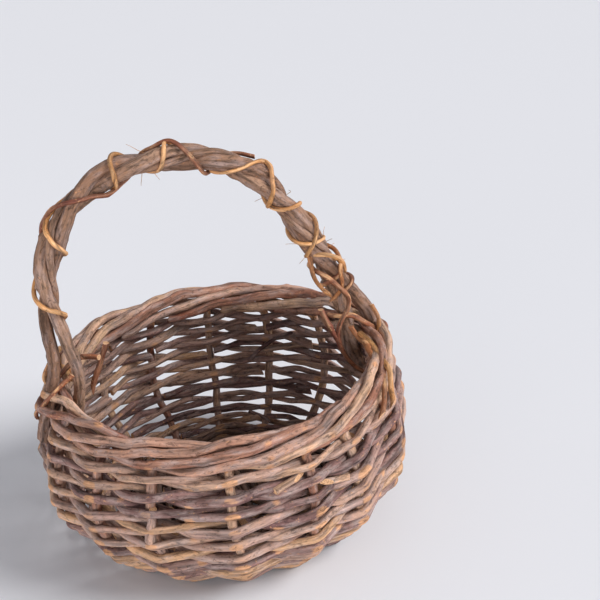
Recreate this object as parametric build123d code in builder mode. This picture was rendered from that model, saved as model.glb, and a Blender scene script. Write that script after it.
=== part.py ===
"""Round market basket in unpeeled brown willow, with a fixed hoop handle.

Frame: +Z up, the floor at Z = 0, the origin under the middle of the base, the handle's hoop along X.
Every rod is a round tube of its own.  Where two rods cross they pass with a small clearance.
"""
from build123d import *
from math import atan, cos, floor, hypot, pi, radians, sin, sqrt
import os

# ---------------------------------------------------------------- driving dimensions, in millimetres
stake_count = 16                      # side stakes
bay = 360 / stake_count               # degrees from one stake to the next, at the base
first_stake = bay / 2                 # so that the handle stands in the middle of a bay
stake_lean = (0, 0, 0, 0, 1, 0, 0, 0, 0, -2, -5, -3, 0, -5, -3, 0)   # degrees, from the belly upwards
clearance = 0.1                       # between two rods that cross
sweep_tolerance = 0.01                # by which a rod's volume may differ from its section times its length

# Side wall, given by the stakes' centre line: base edge, belly and border
base_edge_r, base_edge_z = 79.5, 6.2
belly_r, belly_z = 107.0, 52.0
rim_r, rim_z = 96.5, 97.5
wall_samples = 2000                   # steps in which the wall's length is measured

stake_d = 4.8                         # side stakes, which are turned down to make the border
stake_foot_z = 4.6                    # the stakes start just outside the ends of the base sticks
stake_bend = 27.0
weaver_d = 4.0                        # the two weavers of each row of siding
upsett_d = 3.4                        # the thinner weavers of the lowest rows
upsett_rows = 3
weaver_bend = 10.0
row_count = 11
top_row_z = 82.0
row_stagger = 3                       # bays from the splice of one row to that of the next
splice = 0.25                         # half the gap in degrees between a weaver's butted ends

border_out, border_up = 5.4, 7.0      # half width and half height of the oval that the strands lie on
border_bays = 5.75                    # bays that each stake runs along the rim before its cut end
border_strands = 6                    # strands side by side in any section of the border
kink_radius = 5.5                     # bend where a stake turns down into the border
strand_bend = 20.0

# Base: eight sticks laid in a cross, tied, splayed to sixteen spokes and woven out to the edge
stick_d = 4.6
sticks_per_layer = 4
stick_pitch = stick_d + 0.2
stick_bend = 6.0
cross_half = 19.5                     # half the length over which the sticks stay parallel
splay_r = 31.0                        # radius at which they have reached their own directions
spoke_end_r = 72.4
base_weaver_d = 3.2
base_weaver_bend = 3.0
base_outer_r = 69.0                   # outermost round of the base
base_round_count = 6
base_round_pitch = 6.8
base_round_stagger = 5
base_rise = 0.07                      # the base is a shallow cone, raised in the middle
worn_depth = 0.3                      # the rods that meet the floor are worn flat
tie_halves = (13.5, 17.2)             # half sides of the two squares of the tie
tie_corner_gap = 0.3                  # from the outer sticks to the inner square's corners
tie_corner_growth = 0.4               # how much of the outer square's extra size its corners take
tie_bend = 1.9
tie_end_gap = 0.4                     # half the gap between a square's two ends

# Handle: two thick stems and a thin one twisted together, then parted over the border
stem_d = 7.2
stem_bend = 14.0
thin_stem_d = 4.0
thin_stem_bend = 12.0
stem_offset = 4.0                     # from the handle's centre line to a thick stem's
thin_stem_offset = 5.0
thin_stem_ends = (0.03, 0.97)         # parts of the bow where the thin stem starts and stops
twists = 3                            # whole turns of the stems from foot to foot
handle_steps = 30
bow = [(-93, 142), (-97, 166), (-91, 194), (-72, 220), (-46, 236), (-18, 236.5),
       (10, 230.5), (34, 219.5), (51, 199), (64, 173), (77, 150), (84.5, 132)]
outer_leg = [(112.9, 72), (112, 82), (109.6, 91), (108.4, 100), (103.5, 112)]
inner_leg = [(94.5, 72), (89.5, 84), (84.6, 97), (85.4, 109)]

# Withies that bind the handle
withy_d = 2.2
binding_turns = 11
binding_steps = 8                     # points in each turn
binding_ends = (0.02, 0.98)
binding_bend = 5.0
lash_y = (5.2, 8.2)                   # the two turns of a lashing, either side of the legs
lash_slack = 1.3
lash_tail = 2.0                       # how far the lashing's ends stop short of the inner leg's side
lash_bend = 3.0

os.makedirs("parts", exist_ok=True)


# ---------------------------------------------------------------- shared geometry
def ring_point(degrees_round, r, z):
    """The point at an angle round the basket, a radius and a height."""
    turn = radians(degrees_round)
    return (r * cos(turn), r * sin(turn), z)


def round_angle(half_bays, z):
    """The angle a number of half bays past the first stake; a stake stands at each even number.

    The stakes are evenly spaced at the base and have leaned to their own places at the belly.
    """
    before = floor(half_bays / 2)
    share = half_bays / 2 - before
    lean = (1 - share) * stake_lean[before % stake_count] + share * stake_lean[(before + 1) % stake_count]
    leaned = min(1, max(0, (z - stake_foot_z) / (belly_z - stake_foot_z)))
    return first_stake + bay / 2 * half_bays + leaned * lean


def wall_r(z):
    """Radius of the stakes' centre line: two parabolas that meet at the belly."""
    if z < belly_z:
        return belly_r - (belly_r - base_edge_r) * ((belly_z - z) / (belly_z - base_edge_z)) ** 2
    return belly_r - (belly_r - rim_r) * ((z - belly_z) / (rim_z - belly_z)) ** 2


def wall_slope(z):
    """How fast that radius grows with height."""
    if z < belly_z:
        return 2 * (belly_r - base_edge_r) * (belly_z - z) / (belly_z - base_edge_z) ** 2
    return -2 * (belly_r - rim_r) * (z - belly_z) / (rim_z - belly_z) ** 2


def row_weaver(number):
    """Diameter of a row's two weavers, counting rows from 0 at the bottom."""
    return upsett_d if number < upsett_rows else weaver_d


def row_heights():
    """Heights of the siding rows: from the base edge to the top row with an even gap between them."""
    step = (top_row_z - base_edge_z) / wall_samples
    heights = [base_edge_z + step * i for i in range(wall_samples + 1)]
    lengths = [0.0]
    for z in heights[1:]:
        lengths.append(lengths[-1] + step * hypot(1, wall_slope(z)))
    packed = [row_weaver(k) + row_weaver(k + 1) for k in range(row_count - 1)]
    gap = (lengths[-1] - sum(packed)) / (row_count - 1)
    wanted = [sum(packed[:k]) + gap * k for k in range(row_count)]
    return [min(zip(heights, lengths), key=lambda pair: abs(pair[1] - w))[0] for w in wanted]


def rod(route, diameter, bend):
    """A round rod along straight runs that are joined by arcs of the given radius or radii."""
    with BuildPart() as made:
        with BuildLine():
            path = FilletPolyline(*route, radius=bend)
        with BuildSketch(Plane(origin=path @ 0, z_dir=path % 0)):
            Circle(diameter / 2)
        sweep()
    whole = pi * diameter ** 2 / 4 * path.length
    if abs(made.part.volume / whole - 1) > sweep_tolerance:
        raise ValueError(f"a rod of {whole:.0f} mm3 was swept to {made.part.volume:.0f} mm3")
    return made.part


def save(piece, name):
    piece.label = name
    export_step(piece, f"parts/{name}.step")
    box = piece.bounding_box()
    print(f"{name:20s} {piece.volume:9.0f} mm3  X {box.min.X:7.1f} {box.max.X:7.1f}"
          f"  Y {box.min.Y:7.1f} {box.max.Y:7.1f}  Z {box.min.Z:6.2f} {box.max.Z:6.2f}")


# ---------------------------------------------------------------- pairing: two weavers round the stakes
def pairing(r, z, across, along, stake, weaver, bend, start):
    """One round of pairing as two solids.

    The two weavers twist round a circle of radius r at height z.  At each stake one lies on either side
    of it, and half-way between stakes one lies above the other.  across and along are unit (r, z)
    directions: away from the stake, and up the stake.  start is the bay where both weavers begin.
    """
    bays = [round_angle(2 * k + 2, z) - round_angle(2 * k, z) for k in range(stake_count)]
    half_bay = r * sin(radians(min(bays) / 2))
    apart = (stake + weaver) / 2 + clearance
    half_turn = atan(apart / half_bay) + radians(bay / 4)
    clear_of_bend = apart + bend * (1 / cos(half_turn) - 1)
    clear_of_run = (apart + clearance) * half_bay / sqrt(half_bay ** 2 - (apart + clearance) ** 2)
    reach = max(clear_of_bend, clear_of_run)
    lift = (weaver / 2 + clearance) * reach / sqrt(reach ** 2 - (weaver / 2 + clearance) ** 2)
    solids = []
    for side in (0, 2):
        route = []
        for i in range(2 * stake_count + 1):
            half_bays = 2 * start + 1 + i
            quarter = radians(90 * (half_bays + side))
            out, up = reach * cos(quarter), lift * sin(quarter)
            angle = round_angle(half_bays, z)
            angle += splice if i == 0 else -splice if i == 2 * stake_count else 0
            route.append(ring_point(angle, r + out * across[0] + up * along[0],
                                    z + out * across[1] + up * along[1]))
        solids.append(rod(route, weaver, bend))
    return solids


def base_height(r):
    """Height of the spokes' centre line; the outermost round stands on the floor."""
    foot = stick_d / 2 + base_weaver_d + clearance - worn_depth
    return foot + base_rise * (base_outer_r - r)


# ---------------------------------------------------------------- base sticks
def base_stick(layer, index):
    """One stick of the cross: parallel to its neighbours in the middle, splayed at both ends."""
    offset = (index - (sticks_per_layer - 1) / 2) * stick_pitch
    shift = (layer - 0.5) * stick_pitch
    spoke = (index - (sticks_per_layer - 1) / 2) * bay
    half = [(cross_half, offset, base_height(0) + shift),
            ring_point(spoke, splay_r, base_height(splay_r)),
            ring_point(spoke, spoke_end_r, base_height(spoke_end_r))]
    other = [(-x, y, z) for x, y, z in reversed(half)]
    stick = rod(other + half, stick_d, stick_bend)
    return stick.rotate(Axis.Z, 90 * layer)


for layer in range(2):
    for index in range(sticks_per_layer):
        save(base_stick(layer, index), f"base_stick_{layer * sticks_per_layer + index + 1}")

# ---------------------------------------------------------------- tie round the cross
tie_reach = (stick_d + base_weaver_d) / 2 + clearance
over_lower = base_height(0) - stick_pitch / 2 + tie_reach
under_upper = base_height(0) + stick_pitch / 2 - tie_reach


def tie_square(half):
    """A square turn: over the lower sticks and under the upper ones."""
    corner = sticks_per_layer / 2 * stick_pitch + tie_corner_gap + tie_corner_growth * (half - tie_halves[0])
    quarter = [(half, 0, over_lower), (half, corner, over_lower), (corner, half, under_upper),
               (-corner, half, under_upper), (-half, corner, over_lower)]
    back = [(-x, -y, z) for x, y, z in quarter[1:]]
    return [(half, tie_end_gap, over_lower), *quarter[1:], *back, (half, -tie_end_gap, over_lower)]


with BuildPart() as base_tie:
    for half in tie_halves:
        add(rod(tie_square(half), base_weaver_d, tie_bend))
save(base_tie.part, "base_tie")

# ---------------------------------------------------------------- base rounds
for k in range(base_round_count):
    r = base_outer_r - k * base_round_pitch
    with BuildPart() as base_round:
        add(pairing(r, base_height(r), (0, -1), (1, 0), stick_d, base_weaver_d, base_weaver_bend,
                    base_round_stagger * k))
        split(bisect_by=Plane.XY, keep=Keep.TOP)
    save(base_round.part, f"base_round_{k + 1}")

# ---------------------------------------------------------------- side stakes, turned down into the border
stake_wall_z = [stake_foot_z, *row_heights()]


def side_stake(number):
    """Up the wall from the base edge, then round the rim line as one strand of the border."""
    route = [ring_point(round_angle(2 * number, z), wall_r(z), z) for z in stake_wall_z]
    bends = [stake_bend] * (len(stake_wall_z) - 1) + [kink_radius]
    half_bays = [*range(int(2 * border_bays) + 1), 2 * border_bays]
    for i in half_bays:
        strand = radians(-90 + 360 / (2 * border_strands) * i)
        route.append(ring_point(round_angle(2 * number + i, rim_z), rim_r + border_out * cos(strand),
                                rim_z + border_up * sin(strand)))
    bends += [strand_bend] * (len(half_bays) - 2)
    return rod(route, stake_d, bends)


for k in range(stake_count):
    save(side_stake(k), f"side_stake_{k + 1:02d}")

# ---------------------------------------------------------------- siding
for k, z in enumerate(row_heights()):
    slope = wall_slope(z)
    norm = hypot(1, slope)
    with BuildPart() as siding_row:
        add(pairing(wall_r(z), z, (1 / norm, -slope / norm), (slope / norm, 1 / norm),
                    stake_d, row_weaver(k), weaver_bend, row_stagger * k))
    save(siding_row.part, f"siding_row_{k + 1:02d}")

# ---------------------------------------------------------------- handle
bow_line = Spline(*[(x, 0, z) for x, z in bow])


def beside_bow(t, offset, turn):
    """The point at part t of the bow, offset from its centre line at an angle from straight outward."""
    along = bow_line % t
    outward = Vector(-along.Z, 0, along.X)
    point = bow_line @ t + outward * (offset * cos(turn)) + Vector(0, 1, 0) * (offset * sin(turn))
    return (point.X, point.Y, point.Z)


def twisted(offset, turn, first, last):
    """Points of one stem of the twist, from part first to part last of the bow."""
    steps = [first + (last - first) * i / handle_steps for i in range(handle_steps + 1)]
    return [beside_bow(t, offset, turn + 2 * pi * twists * t) for t in steps]


def leg_points(leg, side):
    return [(side * x, 0, z) for x, z in leg]


for number, leg, turn in ((1, outer_leg, 0), (2, inner_leg, pi)):
    route = leg_points(leg, -1) + twisted(stem_offset, turn, 0, 1) + leg_points(leg, 1)[::-1]
    save(rod(route, stem_d, stem_bend), f"handle_stem_{number}")
thin_stem = twisted(thin_stem_offset, pi / 2, *thin_stem_ends)
save(rod(thin_stem, thin_stem_d, thin_stem_bend), "handle_stem_3")

# ---------------------------------------------------------------- binding withies
binding_r = (stem_offset + stem_d / 2 + withy_d / 2 + clearance) / cos(pi / binding_steps)
binding_first, binding_last = binding_ends
count = binding_turns * binding_steps
spiral = [beside_bow(binding_first + (binding_last - binding_first) * i / count, binding_r,
                     -2 * pi * i / binding_steps) for i in range(count + 1)]
save(rod(spiral, withy_d, binding_bend), "handle_binding")

lash_outer = outer_leg[3][0] + (stem_d + withy_d) / 2 + lash_slack
lash_inner = inner_leg[2][0] - (stem_d + withy_d) / 2 - lash_slack
lash_rise = border_up + (stake_d + withy_d) / 2 + clearance
lash_top, lash_bottom = rim_z + lash_rise, rim_z - lash_rise
near, far = lash_y


def lashing(side):
    """Two turns round the border and both legs, crossing the outer leg on the slant."""
    turns = [(lash_inner + lash_tail, -near, lash_top), (lash_outer, -near, lash_top),
             (lash_outer, far, lash_bottom), (lash_inner, far, lash_bottom),
             (lash_inner, -far, lash_top), (lash_outer, -far, lash_top),
             (lash_outer, near, lash_bottom), (lash_inner + lash_tail, near, lash_bottom)]
    return rod([(side * x, side * y, z) for x, y, z in turns], withy_d, lash_bend)


save(lashing(1), "handle_lashing_right")
save(lashing(-1), "handle_lashing_left")
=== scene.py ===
# %% [markdown]
# # A round market basket in unpeeled willow
# The basket is wholly made of rods: stakes that stand up, weavers that twist between them, a border of
# bent-down stakes, a woven base, and a hoop handle of twisted stems bound with thin withies.  This lesson
# loads the finished CAD frame, then lays a natural rod wherever the frame has a plain tube.

# %% Load the frame
import bpy
import bmesh
import math
import numpy as np
from mathutils import Matrix, Vector


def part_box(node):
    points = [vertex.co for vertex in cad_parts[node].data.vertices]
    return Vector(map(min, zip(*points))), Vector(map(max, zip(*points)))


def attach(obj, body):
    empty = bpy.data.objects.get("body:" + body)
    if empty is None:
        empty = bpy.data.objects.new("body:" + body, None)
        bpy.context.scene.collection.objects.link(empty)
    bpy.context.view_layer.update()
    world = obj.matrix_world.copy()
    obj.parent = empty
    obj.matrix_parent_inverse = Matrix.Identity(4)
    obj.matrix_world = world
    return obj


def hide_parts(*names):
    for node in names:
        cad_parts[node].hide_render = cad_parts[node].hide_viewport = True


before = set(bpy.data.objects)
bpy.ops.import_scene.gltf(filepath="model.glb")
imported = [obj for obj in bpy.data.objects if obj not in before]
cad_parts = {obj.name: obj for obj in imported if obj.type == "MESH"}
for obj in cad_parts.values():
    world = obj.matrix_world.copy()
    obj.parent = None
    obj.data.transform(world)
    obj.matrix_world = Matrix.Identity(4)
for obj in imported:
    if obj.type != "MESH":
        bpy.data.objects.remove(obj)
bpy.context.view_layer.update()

# %% [markdown]
# ## The camera
# The basket is seen from a little above through a normal lens, with the hoop turned slightly away from
# square.  The camera rolls a few degrees, as a hand-held one does.

# %% Camera
VIEW_TURN = math.radians(18.75)         # how far the hoop is turned from square to the camera
VIEW_DOWN = math.radians(25.1)
VIEW_ROLL = math.radians(-3.7)
STAND_SIDE, STAND_BACK, STAND_UP = 0.0517, 0.6107, 0.426

camera_data = bpy.data.cameras.new("camera")
camera_data.lens, camera_data.sensor_width = 68.2, 36.0
camera = bpy.data.objects.new("camera", camera_data)
bpy.context.scene.collection.objects.link(camera)
right = Vector((math.cos(VIEW_TURN), -math.sin(VIEW_TURN), 0))
ahead = Vector((math.sin(VIEW_TURN), math.cos(VIEW_TURN), 0))
camera.location = right * STAND_SIDE - ahead * STAND_BACK + Vector((0, 0, STAND_UP))
aim = ahead * math.cos(VIEW_DOWN) - Vector((0, 0, math.sin(VIEW_DOWN)))
level = aim.to_track_quat("-Z", "Y").to_matrix().to_4x4()
camera.rotation_euler = (level @ Matrix.Rotation(VIEW_ROLL, 4, "Z")).to_euler()
bpy.context.scene.camera = camera
print("camera at", [round(v, 3) for v in camera.location])

# %% [markdown]
# ## Helpers for nodes and colours
# Colours are written as the sRGB hex values that a colour picker shows.  Shaders want linear light, so one
# function turns them.  One more function adds a node, sets it and links it, which keeps each material short
# enough to read.


# %% Node and colour helpers
def linear(hex_colour):
    """An sRGB hex colour as linear red, green, blue and alpha."""
    channels = [int(hex_colour[i:i + 2], 16) / 255 for i in (1, 3, 5)]
    return [c / 12.92 if c <= 0.04045 else ((c + 0.055) / 1.055) ** 2.4 for c in channels] + [1.0]


def node(tree, kind, settings=None, **inputs):
    """Adds a node.  settings are its properties; inputs are socket values, or sockets to link from."""
    made = tree.nodes.new(kind)
    for name, value in (settings or {}).items():
        setattr(made, name, value)
    for name, value in inputs.items():
        key = int(name[1:]) if name[0] == "_" and name[1:].isdigit() else name.replace("_", " ")
        socket = made.inputs[key]
        if isinstance(value, bpy.types.NodeSocket):
            tree.links.new(value, socket)
        else:
            socket.default_value = value
    return made


def ramp(tree, factor, stops, interpolation="LINEAR"):
    """A colour ramp node with (position, hex colour or grey value) stops."""
    made = node(tree, "ShaderNodeValToRGB", Fac=factor)
    made.color_ramp.interpolation = interpolation
    while len(made.color_ramp.elements) < len(stops):
        made.color_ramp.elements.new(0.5)
    for element, (position, colour) in zip(made.color_ramp.elements, stops):
        element.position = position
        element.color = linear(colour) if isinstance(colour, str) else (colour, colour, colour, 1)
    return made.outputs["Color"]


def mix(tree, factor, a, b, blend="MIX"):
    made = node(tree, "ShaderNodeMix", {"data_type": "RGBA", "blend_type": blend, "clamp_factor": True})
    for socket, value in ((made.inputs[0], factor), (made.inputs[6], a), (made.inputs[7], b)):
        if isinstance(value, bpy.types.NodeSocket):
            tree.links.new(value, socket)
        else:
            socket.default_value = value
    return made.outputs[2]


def new_material(name):
    made = bpy.data.materials.new(name)
    made.use_nodes = True
    made.node_tree.nodes.clear()
    shader = node(made.node_tree, "ShaderNodeBsdfPrincipled")
    node(made.node_tree, "ShaderNodeOutputMaterial", Surface=shader.outputs[0])
    return made, made.node_tree, shader


# %% [markdown]
# ## Bark
# Unpeeled willow dries to a thin, matt, wrinkled skin: grey-mauve bloom over tan, with the orange-brown
# under-bark showing where the rod was bent or rubbed.  Three things set its
# scale: wrinkles that run along the rod and are well under a millimetre apart, blotches a few millimetres
# long, and a tone that changes from rod to rod.  Each rod carries four attributes: bark, its own straight
# coordinates in metres, so that the grain follows every bend; tone, one number a rod; wear; and a fourth, how
# far the skin faces into the basket below the rim, which darkens the bark there as painted shade of the
# inside.


# %% Bark material
WRINKLE_MM = (2.2, 28.0)                # the size of each pattern across and along the rod
BLOTCH_MM = (5.0, 5.0 / 0.35)
PATCH_MM = (12.5, 31.25)
FLAKE_MM = (2.0, 4.0)                   # scales of bark that lift and catch dirt
SPECK_MM = 2.2
WORN_FROM = 0.72                        # how bent or rubbed the bark must be to crack open
WORN_FULLY = WORN_FROM + 0.1
# painted shade: bark facing into the basket is darkened by this factor to stand in for the shade inside
INSIDE_SHADE = 0.84                     # how dark the bark is on the side that faces into the basket


def noise(tree, place, size_mm, shift=(0, 0, 0), **settings):
    """Noise of a given size across and along the rod."""
    across, along = 1000 / size_mm[0], 1000 / size_mm[1]
    moved = node(tree, "ShaderNodeMapping", Vector=place, Location=shift, Scale=(across, across, along))
    return node(tree, "ShaderNodeTexNoise", Vector=moved.outputs[0], Scale=1.0, **settings).outputs["Fac"]


def times_plus(tree, a, b, c):
    """The value a * b + c."""
    return node(tree, "ShaderNodeMath", {"operation": "MULTIPLY_ADD"}, _0=a, _1=b, _2=c).outputs[0]


def bark(name, tones, worn, bloom, roughness, bump_mm):
    """tones: hex colours from the darkest rod to the lightest; worn: under-bark; bloom: the grey skin."""
    made, tree, shader = new_material(name)
    place = node(tree, "ShaderNodeAttribute", {"attribute_name": "bark"}).outputs["Vector"]
    tone = node(tree, "ShaderNodeAttribute", {"attribute_name": "tone"}).outputs["Fac"]
    wear = node(tree, "ShaderNodeAttribute", {"attribute_name": "wear"}).outputs["Fac"]
    inward_shade = node(tree, "ShaderNodeAttribute", {"attribute_name": "inward_shade"}).outputs["Fac"]

    fibre = noise(tree, place, WRINKLE_MM, Detail=4.0, Roughness=0.6)
    blotch = noise(tree, place, BLOTCH_MM, Detail=5.0, Roughness=0.62)
    patch = noise(tree, place, PATCH_MM, (3, 5, 7), Detail=3.0)
    flake = noise(tree, place, FLAKE_MM, (2, 9, 4), Detail=4.0, Roughness=0.7, Distortion=0.8)
    speck = node(tree, "ShaderNodeTexNoise", Vector=place, Scale=1000 / SPECK_MM, Detail=2.0,
                 Roughness=0.7).outputs["Fac"]

    rod_tone = node(tree, "ShaderNodeMath", {"operation": "ADD", "use_clamp": True}, _0=tone,
                    _1=times_plus(tree, patch, 0.9, -0.45)).outputs[0]
    skin = ramp(tree, rod_tone, [(i / (len(tones) - 1), c) for i, c in enumerate(tones)])
    grey = ramp(tree, blotch, [(0.45, 0.0), (0.66, 0.75)])
    skin = mix(tree, grey, skin, linear(bloom))
    dots = ramp(tree, speck, [(0.62, 0.0), (0.70, 0.6)])
    skin = mix(tree, dots, skin, linear(worn))
    rub = times_plus(tree, wear, 0.42, 0.0)
    for pattern, share in ((patch, 0.35), (blotch, 0.5), (fibre, 0.2)):
        rub = times_plus(tree, pattern, share, rub)
    bare = ramp(tree, rub, [(WORN_FROM, 0.0), (WORN_FULLY, 0.75)])
    skin = mix(tree, bare, skin, linear(worn))
    streaks = ramp(tree, fibre, [(0.34, 0.30), (0.5, 0.92), (0.66, 1.3)])
    skin = mix(tree, 0.85, skin, streaks, "MULTIPLY")
    flakes = ramp(tree, flake, [(0.36, 0.28), (0.45, 0.88), (0.60, 1.0), (0.70, 1.35)])
    skin = mix(tree, 0.8, skin, flakes, "MULTIPLY")
    # painted shade: darkens the bark that faces into the basket
    shade = ramp(tree, inward_shade, [(0.1, 1.0), (0.9, INSIDE_SHADE)])
    skin = mix(tree, 1.0, skin, shade, "MULTIPLY")
    tree.links.new(skin, shader.inputs["Base Color"])
    shader.inputs["Roughness"].default_value = roughness
    shader.inputs["Specular IOR Level"].default_value = 0.35

    bump = node(tree, "ShaderNodeBump", Height=times_plus(tree, flake, 1.2, fibre), Strength=0.9,
                Distance=bump_mm / 1000)
    tree.links.new(bump.outputs[0], shader.inputs["Normal"])
    return made


def cut_wood(name, fresh, old):
    """The sawn or snipped end of a rod: pale wood with a darker pith and grime."""
    made, tree, shader = new_material(name)
    place = node(tree, "ShaderNodeAttribute", {"attribute_name": "bark"}).outputs["Vector"]
    grain = node(tree, "ShaderNodeTexNoise", Vector=place, Scale=1400.0, Detail=3.0).outputs["Fac"]
    tree.links.new(ramp(tree, grain, [(0.35, old), (0.62, fresh)]), shader.inputs["Base Color"])
    shader.inputs["Roughness"].default_value = 0.8
    bump = node(tree, "ShaderNodeBump", Height=grain, Strength=0.6, Distance=0.0002)
    tree.links.new(bump.outputs[0], shader.inputs["Normal"])
    return made


# weavers: pinkish tan to purple brown, rod by rod, with orange cracks over the stakes
WEAVER_TONES = ["#6c4d4a", "#916e66", "#b08d80", "#bf9981", "#c99d78"]
weaver_bark = bark("willow_bark_weavers", WEAVER_TONES, "#d49c6f", "#b09c96", 0.78, 0.6)
# stakes and border: warmer and a little redder, so that the border reads as one band
STAKE_TONES = ["#8d5541", "#ac806b", "#c49b87", "#d0a887"]
stake_bark = bark("willow_bark_stakes", STAKE_TONES, "#cf9468", "#b29c95", 0.8, 0.65)
# base: dark and dull; the darkness is painted shade, which gives the inside its depth
BASE_TONES = ["#4d3830", "#6b5145", "#836555"]
base_bark = bark("willow_bark_base", BASE_TONES, "#a1764f", "#7d6860", 0.85, 0.35)
# stems: the roughest bark, deeply ridged, grey brown
HANDLE_TONES = ["#694a3b", "#947059", "#b08d76"]
handle_bark = bark("ridged_bark_handle", HANDLE_TONES, "#bd845c", "#a89088", 0.84, 1.0)
# withies: young smooth shoots, the brightest and the only slightly shiny skin
WITHY_TONES = ["#7c4737", "#a2663f", "#bd824d", "#cd9660"]
withy_bark = bark("smooth_bark_withies", WITHY_TONES, "#deac7c", "#b08465", 0.62, 0.3)
# cut ends: small pale accents
end_grain = cut_wood("snipped_willow_end", "#dcb088", "#a97a55")
print(len(bpy.data.materials), "materials")

# %% [markdown]
# ## Sizes that the frame sets
# The wall is two parabolas that meet at the belly.  The rows' heights are read from the frame's own boxes.
# A real basket is never quite round or level: the wall leans and swells a little, and the rim is drawn up
# towards the feet of the handle.  One gentle warp does this to every route, so that rods stay in contact.

# %% Wall, rows and warp
STAKES = 16
BAY = 2 * math.pi / STAKES
FIRST = BAY / 2
STAKE_LEAN = np.radians([0, 0, 0, 0, 1, 0, 0, 0, 0, -2, -5, -3, 0, -5, -3, 0])
BASE_EDGE_R, BASE_EDGE_Z = 0.0795, 0.0062
BELLY_R, BELLY_Z = 0.107, 0.052
RIM_R, RIM_Z = 0.0965, 0.0975
FOOT_Z = 0.0046
STAKE_R = 0.0024
REAR = math.radians(71)                 # the side where the rim sits highest
REAR_RISE = 0.0028
FOOT_RISE = 0.0035                      # of the rim at the handle's feet
FOOT_BULGE = 0.0062                     # how far the border's outer strands go round the handle's feet
FOOT_SPREAD = math.radians(10)


def wall_r(z):
    low = BELLY_R - (BELLY_R - BASE_EDGE_R) * ((BELLY_Z - z) / (BELLY_Z - BASE_EDGE_Z)) ** 2
    high = BELLY_R - (BELLY_R - RIM_R) * ((z - BELLY_Z) / (RIM_Z - BELLY_Z)) ** 2
    return low if z < BELLY_Z else high


def wall_slope(z):
    low = 2 * (BELLY_R - BASE_EDGE_R) * (BELLY_Z - z) / (BELLY_Z - BASE_EDGE_Z) ** 2
    high = -2 * (BELLY_R - RIM_R) * (z - BELLY_Z) / (RIM_Z - BELLY_Z) ** 2
    return low if z < BELLY_Z else high


def middle_height(name):
    low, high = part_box(name)
    return (low[2] + high[2]) / 2


def round_angle(half_bays, z):
    """The angle a number of half bays past the first stake.  Stakes lean from the base to the belly."""
    before = math.floor(half_bays / 2)
    share = half_bays / 2 - before
    lean = (1 - share) * STAKE_LEAN[before % STAKES] + share * STAKE_LEAN[(before + 1) % STAKES]
    leaned = min(1, max(0, (z - FOOT_Z) / (BELLY_Z - FOOT_Z)))
    return FIRST + BAY / 2 * half_bays + leaned * lean


def ring_point(angle, r, z):
    return (r * math.cos(angle), r * math.sin(angle), z)


def settle(points):
    """Leans the rim, draws it up and apart at the handle's feet, and makes the wall slightly uneven."""
    p = np.array(points, float)
    angle = np.arctan2(p[:, 1], p[:, 0])
    r, z = np.hypot(p[:, 0], p[:, 1]), p[:, 2]
    up = np.clip(z / RIM_Z, 0, 1.1)
    low_only = np.clip((0.14 - z) / 0.03, 0, 1)
    belly = np.clip(r / BELLY_R, 0, 1)
    swell = 0.0011 * np.sin(2 * angle + 0.7 + 9 * z) + 0.0008 * np.sin(5 * angle - 1.3 - 20 * z)
    swell = swell * belly ** 3 * np.clip(z / 0.02, 0, 1) * low_only
    from_foot = np.minimum(np.abs(np.sin(angle)), 1)
    at_foot = np.exp(-(from_foot / FOOT_SPREAD) ** 2) * np.clip((z - 0.085) / 0.01, 0, 1) * low_only
    swell = swell + at_foot * FOOT_BULGE * np.clip((r - RIM_R) / 0.004, 0, 1)
    lift = up ** 2 * belly * (REAR_RISE * np.cos(angle - REAR) + FOOT_RISE * np.cos(angle) ** 4)
    lift = lift + 0.0008 * up * belly ** 4 * np.sin(3 * angle + 0.4 + 14 * z)
    p[:, 0] += swell * np.cos(angle)
    p[:, 1] += swell * np.sin(angle)
    p[:, 2] += lift * low_only
    return p


ROWS = 11
row_heights = [middle_height(f"siding_row_{k + 1:02d}") for k in range(ROWS)]
print("rows at", [round(z * 1000, 1) for z in row_heights], "mm")

# %% [markdown]
# ## How a rod is made
# A real rod grows straight and is bent into place, so the script does the same.  A cone primitive with many
# rings is the straight rod; its rings are then moved onto the route, with a taper, a slight oval, buds, and
# a wander that no two rods share.  Modelling each bend by hand would give the same shape with far more
# work, and a bevelled curve could not have buds or the attributes that the bark needs.


# %% Routes
def walk(points, step):
    """Points evenly spaced along a polyline, about step apart."""
    points = np.asarray(points, float)
    lengths = np.concatenate([[0], np.cumsum(np.linalg.norm(np.diff(points, axis=0), axis=1))])
    count = max(4, int(round(lengths[-1] / step)))
    at = np.linspace(0, lengths[-1], count + 1)
    return np.stack([np.interp(at, lengths, points[:, i]) for i in range(3)], -1), lengths[-1]


def ease(points, step, rounding):
    """Rounds a polyline's corners as a rod would: a running mean over about the rounding length."""
    dense, _ = walk(points, step)
    width = max(1, int(round(rounding / step / 2)))
    for _ in range(3):
        head = 2 * dense[0] - dense[width:0:-1]
        tail = 2 * dense[-1] - dense[-2:-width - 2:-1]
        padded = np.concatenate([head, dense, tail])
        total = np.cumsum(np.concatenate([np.zeros((1, 3)), padded]), axis=0)
        dense = (total[2 * width + 1:] - total[:-2 * width - 1]) / (2 * width + 1)
    return walk(dense, step)


def wander(s, wavelength, rng):
    """Smooth noise along s, about -1 to 1."""
    total = 0
    for k, share in ((1.0, 0.5), (0.55, 0.3), (0.31, 0.2)):
        total = total + share * np.sin(2 * np.pi * s / (wavelength * k) + rng.uniform(0, 2 * np.pi))
    return total


# %% Laying rods
APART = 4                               # between the straight rods, before they are bent


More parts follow.
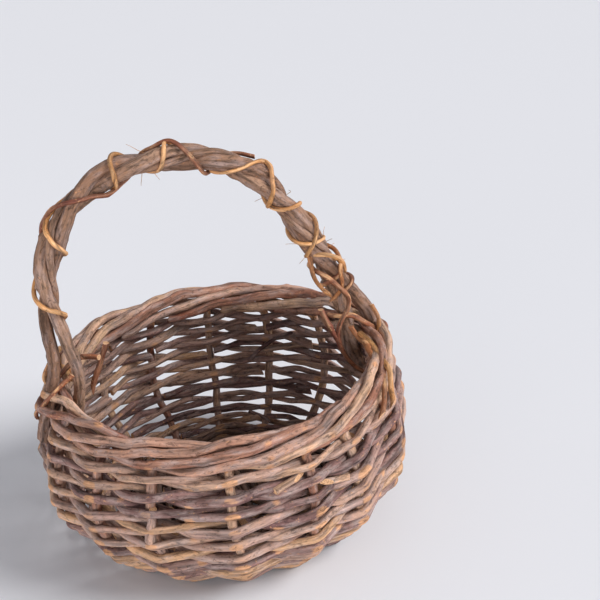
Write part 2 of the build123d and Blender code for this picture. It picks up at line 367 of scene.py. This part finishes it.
def lay_rods(name, rods, skin, replaced):
    """One piece from several rods.

    Each rod is a dict: route, butt and tip radii, seed, and optionally sides, step, rounding, wobble,
    buds (their spacing), ridge, tone, worn, butt_cut and tip_cut (how slanted the ends are) and outward
    (a function of the points).
    """
    bm = bmesh.new()
    laid = []
    for k, rod in enumerate(rods):
        step = rod.get("step", 0.0018)
        centre, length = ease(rod["route"], step, rod.get("rounding", 0.010))
        rings, sides = len(centre) - 1, rod.get("sides", 12)
        place = Matrix.Translation((APART * k, 0, 0))
        cone = bmesh.ops.create_cone(bm, cap_ends=True, segments=sides, radius1=1, radius2=1, depth=1,
                                     matrix=place)
        long_edges = {e for v in cone["verts"] for e in v.link_edges
                      if abs(e.verts[0].co.z - e.verts[1].co.z) > 0.5}
        bmesh.ops.subdivide_edges(bm, edges=list(long_edges), cuts=rings - 1)
        laid.append((rod, centre, length, rings))
    mesh = bpy.data.meshes.new(name)
    bm.to_mesh(mesh)
    bm.free()

    count = len(mesh.vertices)
    straight = np.empty(count * 3)
    mesh.vertices.foreach_get("co", straight)
    straight = straight.reshape(-1, 3)
    which = np.round(straight[:, 0] / APART).astype(int)
    bent, grain = np.empty((count, 3)), np.empty((count, 3))
    tone, wear, inward_shade = np.empty(count), np.empty(count), np.empty(count)
    for k, (rod, centre, length, rings) in enumerate(laid):
        mine = which == k
        x, y = straight[mine, 0] - APART * k, straight[mine, 1]
        ring = np.round((straight[mine, 2] + 0.5) * rings).astype(int)
        bent[mine], grain[mine], tone[mine], wear[mine], inward_shade[mine] = bend_rod(
            rod, centre, length, x, y, ring)
    mesh.vertices.foreach_set("co", bent.ravel())
    for label, kind, values in (("bark", "FLOAT_VECTOR", grain), ("tone", "FLOAT", tone),
                                ("wear", "FLOAT", wear), ("inward_shade", "FLOAT", inward_shade)):
        layer = mesh.attributes.new(label, kind, "POINT")
        layer.data.foreach_set("vector" if kind == "FLOAT_VECTOR" else "value", values.ravel())
    corners = np.empty(len(mesh.polygons), int)
    mesh.polygons.foreach_get("loop_total", corners)
    is_end = corners > 4                # the sides of a rod are squares
    mesh.polygons.foreach_set("material_index", is_end.astype(int))
    mesh.polygons.foreach_set("use_smooth", ~is_end)
    mesh.materials.append(skin)
    mesh.materials.append(end_grain)
    mesh.update()
    piece = bpy.data.objects.new(name, mesh)
    bpy.context.scene.collection.objects.link(piece)
    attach(piece, "root")
    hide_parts(*replaced)
    return piece


END_FADE = 0.01                         # a rod wanders less this near its ends
SLOW_WAVE, FAST_WAVE, LUMP_WAVE = 0.07, 0.055, 0.03
LUMPS, OVAL = 0.08, 0.07                # as parts of the radius
BUD_LENGTH = 0.0016
CRACKING_BEND = 70                      # the curvature, per metre, that cracks bark
# painted shade of the inside fades in over RIM_SHADE_DEPTH below RIM_SHADE_TOP
RIM_SHADE_TOP, RIM_SHADE_DEPTH = RIM_Z + 0.004, 0.012


def bend_rod(rod, centre, length, x, y, ring):
    """Where a straight rod's vertices go, with their bark coordinates, tone, wear and painted inward shade.
    """
    rng = np.random.default_rng(rod["seed"])
    rings = len(centre) - 1
    s = np.linspace(0, length, rings + 1)
    ahead = np.gradient(centre, axis=0)
    ahead /= np.linalg.norm(ahead, axis=1)[:, None]
    outward = rod.get("outward", from_axis)(centre)
    outward = outward - ahead * np.sum(outward * ahead, axis=1)[:, None]
    outward /= np.linalg.norm(outward, axis=1)[:, None]
    sideways = np.cross(ahead, outward)
    bend = np.gradient(ahead, axis=0) / (length / rings)
    wobble = rod.get("wobble", 0.0005)
    fade = np.clip(np.minimum(s, length - s) / END_FADE, 0.2, 1)[:, None]
    centre = centre + fade * wobble * (outward * wander(s, FAST_WAVE, rng)[:, None] * 0.5
                                       + sideways * wander(s, SLOW_WAVE, rng)[:, None])

    angle = np.arctan2(y, x)
    along = s[ring]
    radius = rod["butt"] + (rod["tip"] - rod["butt"]) * along / length
    slope = 1 + np.cos(angle)
    along = np.minimum(along, length - rod.get("tip_cut", 0.3) * radius * slope)
    along = np.maximum(along, rod.get("butt_cut", 0.3) * radius * slope)

    def here(values):
        return np.stack([np.interp(along, s, values[:, i]) for i in range(3)], -1)

    radius = radius * (1 + LUMPS * wander(along, LUMP_WAVE, rng))
    r = radius * (1 + OVAL * np.cos(2 * (angle - rng.uniform(0, np.pi)) + 25 * along))
    ridge = rod.get("ridge", 0.03)
    r = r * (1 + ridge * np.sin(5 * angle + 18 * along + rng.uniform(0, 6))
             + ridge * 0.7 * np.sin(3 * angle - 40 * along + rng.uniform(0, 6)))
    r = r * (1 + ridge * 0.5 * np.sin(7 * angle + 300 * along + 3 * np.sin(120 * along)))
    bud = rng.uniform(0.3, 1) * rod.get("buds", 0.045)
    while bud < length:
        facing = rng.uniform(0, 2 * np.pi)
        near = np.exp(-((along - bud) / BUD_LENGTH) ** 2)
        lobe = np.clip(np.cos(angle - facing), 0, 1) ** 3
        r = r + near * radius * (0.05 + 0.3 * rng.uniform(0.4, 1) * lobe)
        bud += rod.get("buds", 0.045) * rng.uniform(0.5, 1.5)
    out, side = here(outward), here(sideways)
    facing = out * np.cos(angle)[:, None] + side * np.sin(angle)[:, None]
    position = here(centre) + facing * r[:, None]
    position[:, 2] = np.maximum(position[:, 2], 0)      # the lowest rods are worn flat on the table

    away = -np.sum(here(bend) * facing, axis=1)
    wear = np.clip(away / CRACKING_BEND, -0.3, 0.75) + rod.get("worn", rng.uniform(-0.3, 0.1))
    shift = rng.uniform(0, 5, 3)
    grain = np.stack([r * np.cos(angle), r * np.sin(angle), along], -1) + shift
    tone = np.full(len(x), rod.get("tone", rng.uniform(0.0, 1.0)))
    # painted shade: skin below the rim that faces into the basket is marked to be darkened in the material
    below_rim = np.clip((RIM_SHADE_TOP - position[:, 2]) / RIM_SHADE_DEPTH, 0, 1)
    inward_shade = np.clip(0.25 - np.sum(facing * from_axis(position), axis=1), 0, 1) * below_rim
    return position, grain, tone, wear, inward_shade


def from_axis(points):
    """Outward from the basket's middle axis."""
    flat = points * (1, 1, 0)
    return flat / np.maximum(np.linalg.norm(flat, axis=1), 1e-4)[:, None]


def upward(points):
    return np.tile((0.0, 0.0, 1.0), (len(points), 1))


# %% [markdown]
# ## Siding
# The wall is paired: two weavers go round together and twist half a turn in every bay, so one is in front
# of each stake and the other behind it.  Between stakes a thick willow rod stays nearly straight, and it
# kinks at the stake, where the bark cracks and shows orange.  Each weaver of the wall is two rods long: one
# rod's thin tip and the next one's thick butt meet behind a stake.


# %% Pairing
BESIDE_STAKE = 0.0004                   # clearance between a weaver and the stake it passes
BESIDE_PARTNER = 0.0001
JOIN_HALVES = 0.08                      # half bays between a rod's end and the stake that hides it


def pair_route(r, z, across, along, stake_r, radii, halves, phase):
    """Route points at half bays: in front of a stake, crossing, behind the next, crossing back."""
    route = []
    for i, rod_r in zip(halves, radii):
        quarter = math.pi / 2 * (i + phase)
        out = (stake_r + rod_r + BESIDE_STAKE) * math.cos(quarter)
        up = (rod_r + BESIDE_PARTNER) * math.sin(quarter)
        route.append(ring_point(round_angle(i, z), r + out * across[0] + up * along[0],
                                z + out * across[1] + up * along[1]))
    return route


def paired_rods(r, z, across, along, stake_r, seed, thick, thin, rods_each, stagger):
    """The rods of one round of pairing."""
    rng = np.random.default_rng(seed)
    rods = []
    for side in (0, 2):
        behind = [i for i in range(0, 2 * STAKES, 2) if (i + side) % 4 == 2]
        start = behind[(stagger + side) % len(behind)]
        spans = 2 * STAKES // rods_each
        for n in range(rods_each):
            first = start + n * spans
            last = first + spans
            halves = [first + JOIN_HALVES, *range(first + 1, last), last - JOIN_HALVES]
            butt, tip = thick * rng.uniform(0.82, 1.14), thin * rng.uniform(0.84, 1.2)
            radii = np.linspace(butt, tip, len(halves))
            route = settle(pair_route(r, z, across, along, stake_r, radii, halves, side))
            route[0] *= (1 - rng.uniform(0.0, 0.02), 1 - rng.uniform(0.0, 0.02), 1)
            rods.append({"route": route, "butt": butt, "tip": tip, "seed": int(rng.integers(1 << 30)),
                         "rounding": 0.0042, "wobble": 0.0008, "step": 0.0015, "butt_cut": 1.2})
    return rods


# %% [markdown]
# ## Stray ends
# Hand work leaves ends about: two thin red shoots lie loose inside the rear wall, a stub stands by a stake
# in front, and two snipped butts show their pale cut faces.


# %% Stray ends
def on_wall(stations, beyond):
    """A route over the wall; stations are (angle in degrees, height in mm), beyond in metres."""
    return settle([ring_point(math.radians(a), wall_r(z / 1000) + beyond, z / 1000)
                   for a, z in stations])


def end_piece(stations, beyond, radius, seed, tone, **more):
    """A short rod with a long slanted cut at its tip."""
    return {"route": on_wall(stations, beyond), "butt": radius, "tip": radius * 0.85, "seed": seed,
            "rounding": 0.003, "wobble": 0.0006, "tone": tone, "tip_cut": 2.4, **more}


INSIDE, BY_STAKE, LOW_OUTSIDE, OUTSIDE = -0.0066, 0.0028, 0.0030, 0.0032
strays = {                              # by the number of the row that each belongs to
    2: [end_piece([(64, 17), (58, 15), (52, 12)], INSIDE, 0.0013, 181, 0.0)],
    6: [end_piece([(-127.5, 70), (-128.5, 58), (-129.5, 46)], BY_STAKE, 0.0022, 182, 0.6, tip=0.0036,
                  tip_cut=0.4)],
    7: [end_piece([(64, 49), (58, 58), (51, 68), (43.5, 74)], INSIDE, 0.0014, 183, 0.0)],
    9: [end_piece([(-66, 68), (-72, 71), (-77, 73)], OUTSIDE, 0.0020, 184, 0.9, worn=0.2)],
    10: [end_piece([(-92, 77), (-86, 80), (-81, 82)], LOW_OUTSIDE, 0.0021, 185, 0.8, worn=0.2)]}

# %% Rows
UPSETT_ROWS = 3                         # the lowest rows, in thinner rods
UPSETT_BUTT_R, UPSETT_TIP_R = 0.0020, 0.0017
BUTT_R, TIP_R = 0.0027, 0.0021
TOP_ROW_LIFT = 0.0026                   # the top row is pushed up hard under the border
RODS_EACH = 2                           # rods end to end in each weaver
for k, z in enumerate(row_heights):
    name = f"siding_row_{k + 1:02d}"
    z += TOP_ROW_LIFT * (k / (ROWS - 1)) ** 2
    slope = wall_slope(z)
    norm = math.hypot(1, slope)
    thick, thin = (UPSETT_BUTT_R, UPSETT_TIP_R) if k < UPSETT_ROWS else (BUTT_R, TIP_R)
    rods = paired_rods(wall_r(z), z, (1 / norm, -slope / norm), (slope / norm, 1 / norm), STAKE_R,
                       100 + k, thick, thin, RODS_EACH, 3 * k)
    rods += strays.get(k + 1, [])
    lay_rods("woven_" + name, rods, weaver_bark, [name])
print("siding laid")

# %% [markdown]
# ## Stakes and border
# Sixteen stakes stand between the weavers.  At the top each is kinked over and runs round the rim for nearly
# six bays, so that five or six lie side by side anywhere in the border, in a slow twist.  No two are pulled
# equally tight.

# %% Stakes
BORDER_OUT, BORDER_UP = 0.0054, 0.0070
BORDER_BAYS = 5.75
BORDER_STRANDS = 6
TIGHT, LOOSE = -0.25, 0.28              # how far a strand strays from its place in the border
for k in range(STAKES):
    rng = np.random.default_rng(300 + k)
    route = [ring_point(round_angle(2 * k, z), wall_r(z), z) for z in (FOOT_Z, *row_heights)]
    halves = [*range(int(2 * BORDER_BAYS) + 1), 2 * BORDER_BAYS]
    for i in halves:
        strand = -math.pi / 2 + math.pi / BORDER_STRANDS * i
        loose = 1 + rng.uniform(TIGHT, LOOSE)
        route.append(ring_point(round_angle(2 * k + i, RIM_Z),
                                RIM_R + BORDER_OUT * loose * math.cos(strand),
                                RIM_Z + BORDER_UP * loose * math.sin(strand)))
    rod = {"route": settle(route), "butt": 0.0026, "tip": rng.uniform(0.0025, 0.0031), "seed": 300 + k,
           "rounding": 0.0045, "wobble": 0.0012, "step": 0.0015, "tip_cut": 1.5}
    name = f"side_stake_{k + 1:02d}"
    lay_rods("bent_" + name, [rod], stake_bark, [name])
print("stakes laid")

# %% [markdown]
# ## Base
# Four sticks laid over four, tied, splayed to sixteen spokes and woven out to the edge in pairing.

# %% Base sticks, tie and rounds
STICK_R = 0.0023
STICK_PITCH = 0.0048
CROSS_HALF, SPLAY_R, SPOKE_END = 0.0195, 0.031, 0.0738
BASE_ROUNDS = 6
BASE_OUTER_R, BASE_PITCH = 0.071, 0.0071
BASE_ROUND_R = [BASE_OUTER_R - BASE_PITCH * k for k in range(BASE_ROUNDS)]
round_heights = [middle_height(f"base_round_{k + 1}") for k in range(BASE_ROUNDS)]
base_slope = (round_heights[5] - round_heights[1]) / (BASE_ROUND_R[5] - BASE_ROUND_R[1])


def base_z(r):
    """The base is slightly domed; this is the height of its weave at a radius."""
    return round_heights[1] + base_slope * (r - BASE_ROUND_R[1])


for layer in range(2):
    for index in range(4):
        offset = (index - 1.5) * STICK_PITCH
        spoke = (index - 1.5) * BAY
        shift = (layer - 0.5) * STICK_PITCH
        half = [(CROSS_HALF, offset, base_z(0) + shift), ring_point(spoke, SPLAY_R, base_z(SPLAY_R)),
                ring_point(spoke, SPOKE_END, base_z(SPOKE_END))]
        route = np.array([(-x, y, z) for x, y, z in reversed(half)] + half)
        if layer:
            route = route[:, [1, 0, 2]] * (-1, 1, 1)
        number = layer * 4 + index + 1
        rod = {"route": route, "butt": 0.0024, "tip": 0.0021, "seed": 400 + number, "rounding": 0.006,
               "wobble": 0.0003, "outward": upward}
        lay_rods(f"laid_base_stick_{number}", [rod], base_bark, [f"base_stick_{number}"])

tie_low, tie_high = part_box("base_tie")
TIE_R, TIE_END_R = 0.0016, 0.0015
TIE_HALVES = (0.0135, 0.0172)           # half the width of each turn of the tie
TIE_SLACK = 0.0003
over, under = tie_high[2] - TIE_R, tie_low[2] + TIE_R
tie_rods = []
for n, half in enumerate(TIE_HALVES):
    corner = 2 * STICK_PITCH + TIE_SLACK + 0.4 * (half - TIE_HALVES[0])
    quarter = [(half, 0, over), (half, corner, over), (corner, half, under), (-corner, half, under),
               (-half, corner, over)]
    back = [(-x, -y, z) for x, y, z in quarter[1:]]
    tie_rods.append({"route": [(half, 0.0004, over), *quarter[1:], *back, (half, -0.0004, over)],
                     "butt": TIE_R, "tip": TIE_END_R, "seed": 420 + n, "rounding": 0.004,
                     "wobble": 0.0001, "outward": upward, "sides": 10})
lay_rods("wrapped_base_tie", tie_rods, base_bark, ["base_tie"])

for k, (r, z) in enumerate(zip(BASE_ROUND_R, round_heights)):
    rods = paired_rods(r, base_z(r), (0, -1), (1, 0), STICK_R, 440 + k, 0.0021, 0.0018, 1, 5 * k)
    for rod in rods:
        rod.update(rounding=0.003, wobble=0.0002, outward=upward, sides=10)
    lay_rods(f"woven_base_round_{k + 1}", rods, base_bark, [f"base_round_{k + 1}"])
print("base laid")

# %% [markdown]
# ## Handle
# Two thick stems and a thin one are twisted together into a hoop.  Over the border they part: one leg
# passes outside it and one inside.  Thin withies, orange and red, are wound round the hoop unevenly, as they
# were worked by hand; more are knotted where the stems part, and tie the feet down.

# %% Hoop
BOW = [(-93, 142), (-97, 166), (-91, 194), (-72, 220), (-46, 236), (-18, 236.5),
       (10, 230.5), (33, 218.5), (49, 198), (61.5, 172), (74.5, 149), (83, 132)]
OUTER_LEG = [(110.5, 75), (109, 84), (105, 92), (102.5, 100), (101, 110), (96, 121)]
INNER_LEG = [(93, 76), (89.5, 85), (86, 93), (84.5, 101), (84.5, 110), (83.5, 120)]
STEM_R = 0.0036
STEM_OFFSET, THIN_OFFSET = 0.0040, 0.0050
THIN_STEM_R = 0.0020
TWISTS = 3
HOOP_MIDDLE = (0, 0, 0.12)
bow, bow_length = ease([(x / 1000, 0, z / 1000) for x, z in BOW], 0.003, 0.024)
bow_ahead = np.gradient(bow, axis=0)
bow_ahead /= np.linalg.norm(bow_ahead, axis=1)[:, None]
bow_out = np.stack([-bow_ahead[:, 2], 0 * bow_ahead[:, 0], bow_ahead[:, 0]], -1)
bow_part = np.linspace(0, 1, len(bow))


def beside_bow(part, offset, turn):
    """Points beside the hoop: part of its length, distance from its centre line, angle from outward."""
    at = np.stack([np.interp(part, bow_part, bow[:, i]) for i in range(3)], -1)
    out = np.stack([np.interp(part, bow_part, bow_out[:, i]) for i in range(3)], -1)
    across = np.array((0, 1, 0)) * (offset * np.sin(turn))[:, None]
    return at + out * (offset * np.cos(turn))[:, None] + across


def leg(points, side):
    """A leg's (x, z) points in mm, on the right or the left side, as places in metres."""
    return np.array([(side * x / 1000, 0, z / 1000) for x, z in points])


def from_hoop(points):
    """Outward from the middle of the hoop."""
    away = points - np.array(HOOP_MIDDLE)
    return away / np.linalg.norm(away, axis=1)[:, None]


part = np.linspace(0, 1, 90)
for number, points, turn, butt, tip in ((1, OUTER_LEG, 0, 0.0035, 0.0045),
                                        (2, INNER_LEG, math.pi, 0.0033, 0.0048)):
    middle = beside_bow(part, np.full(len(part), STEM_OFFSET), turn + 2 * math.pi * TWISTS * part)
    route = np.concatenate([leg(points, -1), middle, leg(points, 1)[::-1]])
    rod = {"route": route, "butt": butt, "tip": tip, "seed": 500 + number, "rounding": 0.014,
           "wobble": 0.0012, "sides": 24, "step": 0.0011, "ridge": 0.08, "buds": 0.035,
           "outward": from_hoop, "tone": 0.35 + 0.3 * (number - 1)}
    lay_rods(f"twisted_handle_stem_{number}", [rod], handle_bark, [f"handle_stem_{number}"])
inner = np.linspace(0.03, 0.95, 80)
route = beside_bow(inner, np.full(len(inner), THIN_OFFSET), math.pi / 2 + 2 * math.pi * TWISTS * inner)
tail = np.array([(0.0795, -0.006, 0.121), (0.0835, -0.0075, 0.106), (0.087, -0.008, 0.094)])
rod = {"route": np.concatenate([route, tail]), "butt": 0.0022, "tip": 0.0021, "seed": 503,
       "rounding": 0.01, "wobble": 0.0006, "sides": 14, "ridge": 0.04, "outward": from_hoop, "tone": 0.6}
lay_rods("twisted_handle_stem_3", [rod], handle_bark, ["handle_stem_3"])


# %% Withies
BUNDLE_ROUND = 0.045                    # the way round the bundle of stems


def bundle_reach(part, turn):
    """How far the twisted stems reach from the hoop's centre line in a direction."""
    twist = 2 * math.pi * TWISTS * part
    thick = np.abs(np.cos(turn - twist)) * STEM_OFFSET + STEM_R * 1.06
    thin = np.cos(turn - twist - math.pi / 2) * THIN_OFFSET + THIN_STEM_R
    return np.maximum(thick, thin)


def withy(stations, seed, thick=0.00135, layer=1.0, tone=0.5, **more):
    """A withy wound on the hoop.

    stations are (part of the hoop, whole turns from outward); layer is how many of its own radii its
    centre lies above the stems.
    """
    parts, turns = np.array(stations, float).T
    length = np.concatenate([[0], np.cumsum(np.hypot(np.diff(parts) * bow_length,
                                                     np.diff(turns) * BUNDLE_ROUND))])
    even = np.linspace(0, length[-1], int(length[-1] / 0.002))
    part = np.interp(even, length, parts)
    turn = 2 * math.pi * np.interp(even, length, turns)
    reach = bundle_reach(part, turn) + thick * layer
    return {"route": beside_bow(part, reach, turn), "butt": thick, "tip": thick * 0.85, "seed": seed,
            "rounding": 0.005, "wobble": 0.0007, "sides": 10, "step": 0.0012, "buds": 0.03,
            "ridge": 0.07, "outward": from_hoop, "tone": tone, **more}


def foot_withy(points, radius, seed, tone, side=1, **more):
    """A withy at a handle's foot, through points in mm; side is 1 for the right foot, -1 for the left."""
    return {"route": np.array(points, float) * (side / 1000, side / 1000, 0.001), "butt": radius,
            "tip": radius * 0.85, "seed": seed, "rounding": 0.005, "wobble": 0.0006, "sides": 10,
            "step": 0.0012, "ridge": 0.07, "outward": from_hoop, "tone": tone, "tip_cut": 2.0, **more}


# %% Binding
LONG_WITHY = [(.02, -2.6), (.10, -2), (.16, -1.7), (.22, -1.0), (.30, -.75), (.36, -.5), (.378, 0), (.43, .4),
              (.455, .5), (.475, 1.0), (.53, 1.35), (.565, 1.5), (.665, 2.0), (.70, 2.3), (.735, 2.5),
              (.775, 3.0), (.81, 3.4), (.84, 3.6), (.87, 4.0), (.885, 4.4)]
RED_WITHY = [(.18, 2.2), (.25, 2.0), (.33, 1.6), (.40, 1.45), (.45, 1.15), (.48, 1.0), (.57, .5), (.60, .2),
             (.65, .05)]
LATE_WITHY = [(.655, 2.25), (.67, 2.0), (.735, 1.5), (.76, 1.3), (.80, 1.1), (.83, .9), (.87, .6)]
LOW_WITHY = [(.90, 1.4), (.93, 1.1), (.955, .6), (.975, .15), (.99, -.3)]
binding = [withy(LONG_WITHY, 510, tone=0.75),
           withy(RED_WITHY, 511, thick=0.0014, layer=1.5, tone=0.1),
           withy(LATE_WITHY, 512, thick=0.0014, layer=1.7, tone=0.9),
           withy(LOW_WITHY, 514, thick=0.0015, layer=1.2, tone=0.1)]

KNOT = [                                # radius, tone, points
    (0.0016, 0.5, [(69, 9, 166), (61, 4, 166), (60.5, -6, 162), (59.7, -9, 154), (61.8, -10, 146),
                   (67, -9, 139), (74, -7, 133)]),
    (0.0015, 0.8, [(70, 9, 157), (61.5, 4, 160), (62, -6, 162), (68, -10, 163), (74, -10.5, 161),
                   (80, -8.5, 156.5), (83.5, -5, 147), (85, 4, 140), (79, 9, 137)]),
    (0.0015, 0.3, [(70, 9, 164), (80, 3, 160), (80, -8, 155.5), (77.5, -10.5, 150), (79.7, -10, 142),
                   (78, -9, 136), (72, -6, 129)]),
    (0.0017, 0.1, [(72, 9, 152), (62.5, 4, 153), (63, -7, 152), (70, -10.5, 147.5), (77, -10, 139),
                   (83.8, -9, 130.5), (82, -10.5, 124), (76.6, -10.5, 117), (74.2, -9.5, 108), (76, -9, 99),
                   (79, -10, 91), (86, -13, 82), (91, -15, 79)])]
for n, (radius, tone, points) in enumerate(KNOT):
    binding.append(foot_withy(points, radius, 530 + n, tone))

FIBRE_SPOTS = (0.44, 0.74, 0.87, 0.90)  # parts of the hoop where bark has frayed under the withies
FIBRES = 20
rng = np.random.default_rng(560)
for n in range(FIBRES):
    part = rng.choice(FIBRE_SPOTS) + rng.uniform(-0.015, 0.015) + rng.uniform(-0.02, 0.02) * np.arange(4)
    turn = rng.uniform(0, 2 * math.pi) + rng.uniform(-0.4, 0.4) * np.arange(4)
    binding.append({"route": beside_bow(part, np.linspace(0.003, rng.uniform(0.010, 0.014), 4), turn),
                    "butt": 0.0002, "tip": 0.00012, "seed": 561 + n, "rounding": 0.003, "wobble": 0.001,
                    "sides": 6, "step": 0.0012, "outward": from_hoop, "tone": 0.9})
lay_rods("wound_handle_binding", binding, withy_bark, ["handle_binding"])

# %% Lashings
LASHING = [                             # radius, tone, worn, points
    (0.0017, 0.15, 0, [(70, -4, 120), (77, -9.5, 120), (84, -9.5, 119.5), (92.5, -10, 112),
                       (103, -8.5, 103), (110.5, -6, 96), (110, -5, 90)]),
    (0.0017, 0.35, 0.1, [(83, -9, 112), (87, -13, 103), (86, -26, 106.5), (82.5, -57, 103), (80, -67, 99),
                         (76, -75, 92), (70.5, -82, 87)]),
    (0.0018, 0.9, 0.25, [(88, -12, 107), (89, -24, 107), (87, -60, 104), (84.5, -66, 98), (84, -70, 91),
                         (82, -73, 86)]),
    (0.0019, 0.0, 0.2, [(64.5, -8, 127), (69, -9.5, 115), (74, -9.5, 104), (78, -9, 94)]),
    (0.0015, 0.6, 0, [(99, -6, 122), (103.5, -9, 112), (100, -13, 104), (92, -14, 98)]),
    (0.0015, 0.1, 0, [(88, 8, 119), (99, 9.5, 112), (107, 7, 103), (112, 2, 96), (111, -5, 88)])]
for side, label in ((1, "right"), (-1, "left")):
    ties = [foot_withy(points, radius, 540 + 10 * n + side, tone, side, worn=worn)
            for n, (radius, tone, worn, points) in enumerate(LASHING)]
    lay_rods(f"tied_handle_lashing_{label}", ties, withy_bark, [f"handle_lashing_{label}"])
print("handle laid")

# %% [markdown]
# ## Floor and light
# A plain pale floor, and plain soft light.  A broad window stands to the right and slightly in front, so that
# the shadows fall softly to the left and the right wall shades the inside.  A low pale wall in front fills
# the front of the basket; it is kept low so that it does not shine over the rim.

# %% Floor
floor_bm = bmesh.new()
bmesh.ops.create_grid(floor_bm, x_segments=1, y_segments=1, size=4)
floor_mesh = bpy.data.meshes.new("floor")
floor_bm.to_mesh(floor_mesh)
floor_bm.free()
floor = bpy.data.objects.new("floor", floor_mesh)
bpy.context.scene.collection.objects.link(floor)
floor_paint, tree, shader = new_material("pale_painted_table")
shader.inputs["Base Color"].default_value = linear("#e6e6ea")
shader.inputs["Roughness"].default_value = 0.6
floor_mesh.materials.append(floor_paint)

# %% Light
world = bpy.data.worlds.new("pale_room")
bpy.context.scene.world = world
world.use_nodes = True
sky = world.node_tree
direction = node(sky, "ShaderNodeTexCoord").outputs["Generated"]
height = node(sky, "ShaderNodeSeparateXYZ", Vector=direction).outputs["Z"]
walls = ramp(sky, height, [(0.0, 0.80), (0.35, 0.68), (0.8, 0.32)])     # brightest at the horizon
sky.links.new(mix(sky, 1.0, walls, linear("#f3f5fb"), "MULTIPLY"), sky.nodes["Background"].inputs["Color"])


LIT_SPOT = Vector((0, 0, 0.08))


def lamp(name, data, place):
    """Puts a light at a place, turned towards the middle of the basket."""
    made = bpy.data.objects.new(name, data)
    made.location = place
    made.rotation_euler = (LIT_SPOT - Vector(place)).to_track_quat("-Z", "Y").to_euler()
    bpy.context.scene.collection.objects.link(made)


window = bpy.data.lights.new("window", "SUN")
window.energy, window.angle = 3.0, math.radians(34)
lamp("window", window, right * 1.2 - ahead * 0.25 + Vector((0, 0, 1.0)))
room = bpy.data.lights.new("room", "AREA")
room.shape, room.size, room.size_y, room.energy = "RECTANGLE", 1.6, 0.3, 12
lamp("room", room, -right * 0.5 - ahead * 1.5 + Vector((0, 0, 0.17)))
bpy.context.scene.view_settings.view_transform = "Standard"
